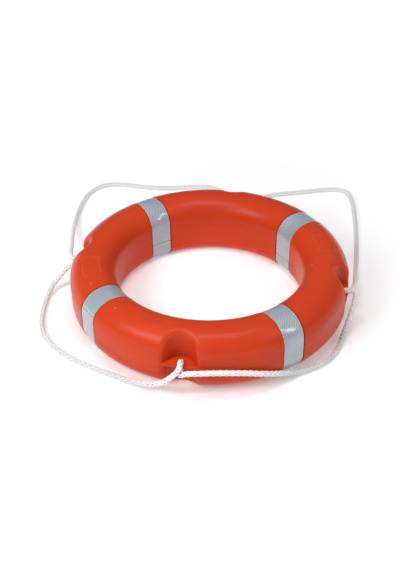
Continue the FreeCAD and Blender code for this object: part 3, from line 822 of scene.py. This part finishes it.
def whipped_join(line, finishes):
    """Three bands of twine wound round the line where its ends are joined, each with a darker stitch."""
    centre = line.nearest(JOIN_PLACE)
    window = round(JOIN_REACH / STATION_PITCH)
    places, sides, ups, reach = line.stations(centre - window, 2 * window)
    reach = reach - line.reach[centre]
    points = []
    stored = []
    faces = []
    kinds = []
    first = 0

    def at(distances):
        """Places and frames of the line at these distances from the join's middle."""
        return [np.column_stack([np.interp(distances, reach, block[:, axis]) for axis in range(3)])
                for block in (places, sides, ups)]

    def add(path, outward, kind):
        """One length of twine, pale or dark."""
        nonlocal first
        spots, lay = twine(path, outward)
        points.append(spots)
        stored.append(lay)
        made = tube_faces(len(path), TWINE_SIDES, first)
        faces.extend(made)
        kinds.extend([kind] * len(made))
        first += len(spots)

    for number in range(JOIN_BANDS):
        middle = (number - (JOIN_BANDS - 1) / 2) * JOIN_PITCH
        count = round(TWINE_TURNS * TWINE_STEPS)
        turn = np.linspace(0.0, 2 * math.pi * TWINE_TURNS, count)
        climb = np.linspace(-0.5, 0.5, count) * TWINE_TURNS * 2 * TWINE_RADIUS
        centres, across, up = at(middle + climb)
        outward = across * np.cos(turn)[:, None] + up * np.sin(turn)[:, None]
        add(centres + outward * TWINE_CIRCLE, outward, 0)

        # The stitch crosses the band on the side that faces the ring.
        centres, across, up = at(middle + np.linspace(-0.5, 0.5, STITCH_STEPS) * STITCH_LENGTH)
        toward = np.array(STITCH_SIDE)
        outward = lengthened(across * (across @ toward)[:, None] + up * (up @ toward)[:, None])
        arch = np.sin(np.linspace(0.0, math.pi, STITCH_STEPS))
        lift = TWINE_CIRCLE + TWINE_RADIUS * STITCH_LIFT_SHARE * arch
        add(centres + outward * lift[:, None], outward, 1)

    piece = new_piece("whipped_join", np.concatenate(points), faces, "thread", finishes,
                      lay=np.concatenate(stored))
    piece.data.polygons.foreach_set("material_index", kinds)
    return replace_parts(piece, "splice_whipping")


def grab_line():
    """The braided grab line in its four pieces, and the join of its two ends."""
    line = Line()
    finish = rope_finish()
    join = whipped_join(line, [
        twine_finish("pale_waxed_twine", *PALE_TWINE),
        twine_finish("dark_stitch_twine", *DARK_TWINE),
    ])
    for name, (_, length) in LINE_LUGS.items():
        piece = braid_piece(line, name, finish)


def tape_points(node, degrees):
    """Places on the outer face of a tape, in rows round the section and columns across the tape."""
    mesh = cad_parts[node].data
    tree = BVHTree.FromPolygons([vertex.co for vertex in mesh.vertices],
                                [tuple(face.vertices) for face in mesh.polygons])
    angle = math.radians(degrees)
    radial = Vector((math.cos(angle), math.sin(angle), 0.0))
    sideways = Vector((-math.sin(angle), math.cos(angle), 0.0))
    start = math.radians(TAPE_LAPS[node])
    half = TAPE_WIDTH / 2
    inside = half - RAY_INSET
    rows = np.zeros((TAPE_ROWS + 1, TAPE_COLUMNS + 1, 3))
    normals = np.zeros_like(rows)
    for column in range(TAPE_COLUMNS + 1):
        across = -half + TAPE_WIDTH * column / TAPE_COLUMNS
        cast = max(-inside, min(inside, across))
        centre = radial * math.sqrt(SECTION_CIRCLE ** 2 - cast ** 2) + sideways * cast
        centre.z = PARTING_HEIGHT
        for row in range(TAPE_ROWS + 1):
            turn = start + math.radians(360 - SEAM_TURN) * row / TAPE_ROWS
            outward = radial * math.cos(turn) + Vector((0.0, 0.0, math.sin(turn)))
            spot, normal, _, _ = tree.ray_cast(centre + outward * RAY_REACH, -outward)
            rows[row, column] = spot + sideways * (across - cast)
            normals[row, column] = normal
    return rows, normals


def tape_piece(node, degrees, finish):
    """A retroreflective tape wrapped once round the section, its first end lapped over its last."""
    rows, normals = tape_points(node, degrees)
    middle = rows[:, TAPE_COLUMNS // 2]
    gone = np.concatenate(([0.0], np.cumsum(np.linalg.norm(np.diff(middle, axis=0), axis=1))))
    whole = gone[-1]
    left = whole - gone
    lap = np.clip(1 - gone / LAP_LENGTH, 0.0, 1.0)
    lap = lap * lap * (3 - 2 * lap)
    shade = np.clip(1 - left / SHADE_LENGTH, 0.0, 1.0)
    across = np.linspace(-TAPE_WIDTH / 2, TAPE_WIDTH / 2, TAPE_COLUMNS + 1)
    ripple = 1.0
    for along_rate, across_rate in RIPPLE_WAVES:
        ripple = ripple * np.sin(gone[:, None] * along_rate + across[None, :] * across_rate)
    ripple = ripple * np.clip(np.minimum(gone, left) / RIPPLE_FADE, 0.0, 1.0)[:, None]
    rise = lap[:, None] * LAP_RISE + ripple * RIPPLE_RISE
    outer = rows + normals * rise[:, :, None]
    inner = rows - normals * TAPE_BODY
    film = np.stack(np.broadcast_arrays(across[None, :], gone[:, None], (lap - shade)[:, None]), axis=2)
    points = np.concatenate((outer.reshape(-1, 3), inner.reshape(-1, 3)))
    stored = np.concatenate((film.reshape(-1, 3), film.reshape(-1, 3)))

    wide = TAPE_COLUMNS + 1
    below = (TAPE_ROWS + 1) * wide
    faces = []
    for row in range(TAPE_ROWS):
        low = row * wide
        for column in range(TAPE_COLUMNS):
            quad = (low + column, low + column + 1, low + wide + column + 1, low + wide + column)
            faces.append(quad)
            faces.append(tuple(below + spot for spot in reversed(quad)))
        faces.append((low, low + wide, below + low + wide, below + low))
        end = low + TAPE_COLUMNS
        faces.append((end + wide, end, below + end, below + end + wide))
    last = TAPE_ROWS * wide
    for column in range(TAPE_COLUMNS):
        faces.append((column + 1, column, below + column, below + column + 1))
        over = last + column
        faces.append((over, over + 1, below + over + 1, below + over))
    piece = new_piece(node + "_film", points, faces, "reflective_tape", [finish], film=stored)
    piece.data.set_sharp_from_angle(angle=math.radians(FILM_CREASE))
    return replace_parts(piece, node)


def tapes():
    """The four tapes."""
    finish = tape_finish()
    for node, degrees in TAPE_ANGLES.items():
        tape_piece(node, degrees, finish)


def repaint(node, finish):
    """Give a CAD node a better finish."""
    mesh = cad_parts[node].data
    if not mesh.materials:
        mesh.materials.append(finish)
    for slot in range(len(mesh.materials)):
        mesh.materials[slot] = finish


def rigid_pieces():
    """The shell, its foam core and its plugs keep their CAD shapes."""
    repaint("ring_shell", shell_finish())
    repaint("foam_core", foam_finish())
    for node, degrees in PLUG_ANGLES.items():
        repaint(node, plug_finish(node, degrees))


def camera():
    """The camera at the photograph's angle."""
    forward = Vector(CAMERA_FORWARD).normalized()
    right = forward.cross(Vector(CAMERA_UP)).normalized()
    up = right.cross(forward)
    lens = bpy.data.cameras.new("camera")
    lens.lens = CAMERA_LENS
    lens.sensor_width = CAMERA_SENSOR
    lens.sensor_fit = "HORIZONTAL"
    thing = bpy.data.objects.new("camera", lens)
    turned = Matrix((right, up, -forward)).transposed().to_4x4()
    thing.matrix_world = Matrix.Translation(Vector(CAMERA_PLACE)) @ turned
    bpy.context.scene.collection.objects.link(thing)
    bpy.context.scene.camera = thing


def floor():
    """A plain pale floor, kept white away from the ring by a glow of its own."""
    mesh = bpy.data.meshes.new("floor")
    half = FLOOR_HALF
    square = ((-half, -half), (half, -half), (half, half), (-half, half))
    mesh.from_pydata([(x, y, -FLOOR_DROP) for x, y in square], [], [(0, 1, 2, 3)])
    finish = Finish("pale_floor")
    x, y, z = finish.place()
    grain = finish.noise(finish.vector(x, y, z), scale=60.0, detail=2.0, roughness=0.5)
    colour = finish.mix(grain * 0.05, FLOOR_COLOUR, FLOOR_SPECK_COLOUR)
    away = (x * x + y * y).root().step(*FLOOR_GLOW_SPAN)
    glow = finish.mix(away, FLOOR_GLOW_NEAR, FLOOR_GLOW_FAR)
    mesh.materials.append(finish.finish(grain * FLOOR_GRAIN_RISE, Base_Color=colour, Roughness=0.85,
                                        Emission_Color=glow, Emission_Strength=1.0))
    thing = bpy.data.objects.new("floor", mesh)
    bpy.context.scene.collection.objects.link(thing)


def softboxes():
    """Soft studio lights."""
    for name, place, target, sides, power in SOFTBOXES:
        light = bpy.data.lights.new(name, "AREA")
        light.shape = "RECTANGLE"
        light.size, light.size_y = sides
        light.energy = power
        thing = bpy.data.objects.new(name, light)
        thing.location = place
        toward = Vector(target) - Vector(place)
        thing.rotation_euler = toward.to_track_quat("-Z", "Y").to_euler()
        bpy.context.scene.collection.objects.link(thing)


def surroundings():
    """A pale room: bright above and below, dimmer at its walls."""
    world = bpy.data.worlds.new("studio")
    bpy.context.scene.world = world
    world.use_nodes = True
    nodes = Nodes(world.node_tree)
    _, _, z = nodes.parts(nodes.add("ShaderNodeTexCoord", output="Generated"))
    upper = nodes.mix(z.step(*WALL_TO_CEILING), WORLD_WALL, WORLD_CEILING)
    colour = nodes.mix(z.step(*GROUND_TO_WALL), WORLD_GROUND, upper)
    light = nodes.add("ShaderNodeBackground", {"Color": colour, "Strength": WORLD_STRENGTH})
    nodes.add("ShaderNodeOutputWorld", {0: light})


camera()
floor()
softboxes()
surroundings()
rigid_pieces()
tapes()
grab_line()
bpy.context.scene.view_settings.view_transform = "Standard"
